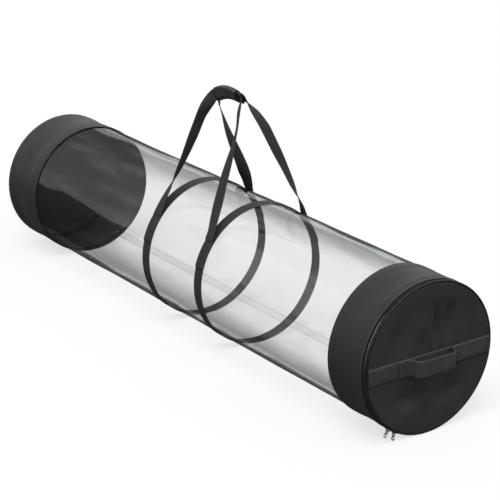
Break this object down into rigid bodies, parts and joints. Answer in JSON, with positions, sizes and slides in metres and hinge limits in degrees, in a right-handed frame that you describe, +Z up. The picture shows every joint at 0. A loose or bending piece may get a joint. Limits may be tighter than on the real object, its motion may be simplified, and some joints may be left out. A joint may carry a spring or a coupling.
{
  "type": "gift wrap organizer",
  "caption": "Clear round storage bag for long rolls of wrapping paper, with fabric sleeves, a zipped round end cap with a grip, and two webbing carry handles held by a wrap.",
  "frame": {"origin": "centre of the bag's box on the surface that it lies on", "axes": "+X along the bag towards its zipped cap, +Y towards its back, +Z up"},
  "size_m": [1.045, 0.23, 0.3997],
  "materials": {
    "film": "clear glossy vinyl sheet",
    "sleeve_fabric": "coated woven polyester, soft sheen",
    "cap_fabric": "coated woven polyester",
    "webbing": "flat woven polypropylene webbing",
    "piping": "bias binding over a cord",
    "zip_tape": "woven polyester tape",
    "zip_teeth": "moulded plastic teeth",
    "slider_enamel": "black enamel on die-cast zinc",
    "pull_metal": "plated steel wire"
  },
  "bodies": {
    "bag": {"clear_body": "film", "near_sleeve": "sleeve_fabric", "far_sleeve": "sleeve_fabric", "far_panel": "sleeve_fabric", "far_piping": "piping", "far_band": "webbing", "near_band": "webbing", "front_far_sewn_end": "webbing", "front_near_sewn_end": "webbing", "back_far_sewn_end": "webbing", "back_near_sewn_end": "webbing", "body_tape": "zip_tape", "body_teeth": "zip_teeth", "hinge_strip_body": "cap_fabric", "end_stop_front": "slider_enamel", "end_stop_back": "slider_enamel"},
    "cap": {"cap_panel": "cap_fabric", "cap_piping": "piping", "cap_tape": "zip_tape", "cap_teeth_front": "zip_teeth", "cap_teeth_back": "zip_teeth", "hinge_strip_cap": "cap_fabric", "cap_strap": "webbing", "cap_handle": "webbing"},
    "first_slider": {"slider_1": "slider_enamel"},
    "second_slider": {"slider_2": "slider_enamel"},
    "first_pull": {"pull_1": "pull_metal"},
    "second_pull": {"pull_2": "pull_metal"},
    "front_carry": {"front_handle": "webbing", "handle_wrap": "webbing", "loop_tape": "zip_tape"},
    "back_carry": {"back_handle": "webbing"},
    "flap": {"wrap_flap": "webbing", "hook_tape": "zip_tape"}
  },
  "joints": [
    {"name": "cap_swing", "type": "hinge", "parent": "bag", "child": "cap", "pos_m": [0.4955, 0.0611, 0.21228], "axis": [0, -0.848, 0.5299], "range_deg": [0, 110]},
    {"name": "slider_1_travel", "type": "hinge", "parent": "bag", "child": "first_slider", "pos_m": [0.4955, 0, 0.1145], "axis": [-1, 0, 0], "range_deg": [0, 157.5]},
    {"name": "slider_2_travel", "type": "hinge", "parent": "bag", "child": "second_slider", "pos_m": [0.4955, 0, 0.1145], "axis": [1, 0, 0], "range_deg": [0, 157.5]},
    {"name": "pull_1_swing", "type": "hinge", "parent": "first_slider", "child": "first_pull", "pos_m": [0.4955, -0.06743, 0.01943], "axis": [-1, 0, 0], "range_deg": [-25, 75]},
    {"name": "pull_2_swing", "type": "hinge", "parent": "second_slider", "child": "second_pull", "pos_m": [0.4955, -0.05589, 0.01222], "axis": [1, 0, 0], "range_deg": [-35, 60]},
    {"name": "back_handle_swing", "type": "hinge", "parent": "bag", "child": "back_carry", "pos_m": [0.013, 0.09236, 0.18666], "axis": [-1, 0, 0], "range_deg": [0, 120]},
    {"name": "front_handle_swing", "type": "hinge", "parent": "bag", "child": "front_carry", "pos_m": [0.013, -0.09236, 0.18666], "axis": [1, 0, 0], "range_deg": [0, 120]},
    {"name": "wrap_flap_open", "type": "hinge", "parent": "front_carry", "child": "flap", "pos_m": [-0.028, 0.0113, 0.381], "axis": [-0.9916, 0, -0.1297], "range_deg": [0, 150]}
  ],
  "couplings": [
    {"joint": "slider_1_travel", "follows": "cap_swing", "ratio": 1.4318},
    {"joint": "slider_2_travel", "follows": "cap_swing", "ratio": 1.4318},
    {"joint": "front_handle_swing", "follows": "back_handle_swing", "ratio": 1},
    {"joint": "wrap_flap_open", "follows": "back_handle_swing", "ratio": 1.25}
  ]
}
